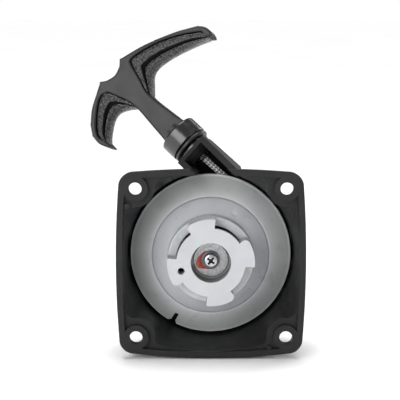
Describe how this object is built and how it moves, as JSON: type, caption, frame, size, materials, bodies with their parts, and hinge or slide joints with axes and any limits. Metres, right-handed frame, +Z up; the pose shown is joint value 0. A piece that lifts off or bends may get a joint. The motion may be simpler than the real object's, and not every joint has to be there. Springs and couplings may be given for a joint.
{
  "type": "recoil starter",
  "caption": "Recoil pull starter for a small engine: square bolt flange, round housing, rope reel with lobed drive cam, and a T handle on a braided rope.",
  "frame": {"origin": "on the reel's axis, in the plane of the bolt bosses, at the centre of the bolt pattern", "axes": "-Y towards the engine, +Z up, +X to the right when seen from the engine side; the rope leaves towards -X and +Z"},
  "size_m": [0.0972, 0.0563, 0.1454],
  "materials": {
    "housing_plastic": "satin moulded black",
    "guide_plastic": "gloss black",
    "handle_plastic": "fine satin black",
    "soft_grip": "stippled soft black",
    "natural_nylon": "translucent natural nylon",
    "white_plastic": "white acetal",
    "zinc_steel": "zinc plated",
    "spring_steel": "blued and oiled",
    "braided_rope": "white and grey braid"
  },
  "bodies": {
    "housing": {"housing": "housing_plastic", "rope_guide": "guide_plastic", "retaining_washer": "zinc_steel", "spring_washer": "spring_steel", "centre_screw": "zinc_steel", "recoil_spring": "spring_steel", "spring_case": "zinc_steel", "spring_cover": "zinc_steel", "rope_run": "braided_rope"},
    "reel": {"reel": "natural_nylon", "rope_winding": "braided_rope", "reel_knot": "braided_rope", "damper_spring": "spring_steel"},
    "drive_cam": {"drive_cam": "white_plastic"},
    "handle": {"handle_body": "handle_plastic", "grip_insert_long": "soft_grip", "grip_insert_short": "soft_grip", "handle_collar": "guide_plastic", "collar_bumper": "soft_grip", "rope_lead": "braided_rope", "handle_knot": "braided_rope"}
  },
  "joints": [
    {"name": "reel_spin", "type": "hinge", "parent": "housing", "child": "reel", "pos_m": [0, 0, 0], "axis": [0, -1, 0], "range_deg": [0, 1620]},
    {"name": "handle_pull", "type": "slide", "parent": "housing", "child": "handle", "axis": [-0.7005, 0.342, 0.6263], "range_m": [0, 0.785]},
    {"name": "cam_windup", "type": "hinge", "parent": "reel", "child": "drive_cam", "pos_m": [0, 0, 0], "axis": [0, 1, 0], "range_deg": [0, 120], "stiffness_Nm_per_rad": 0.3}
  ],
  "couplings": [
    {"joint": "handle_pull", "follows": "reel_spin", "m_per_rad": 0.0276}
  ]
}
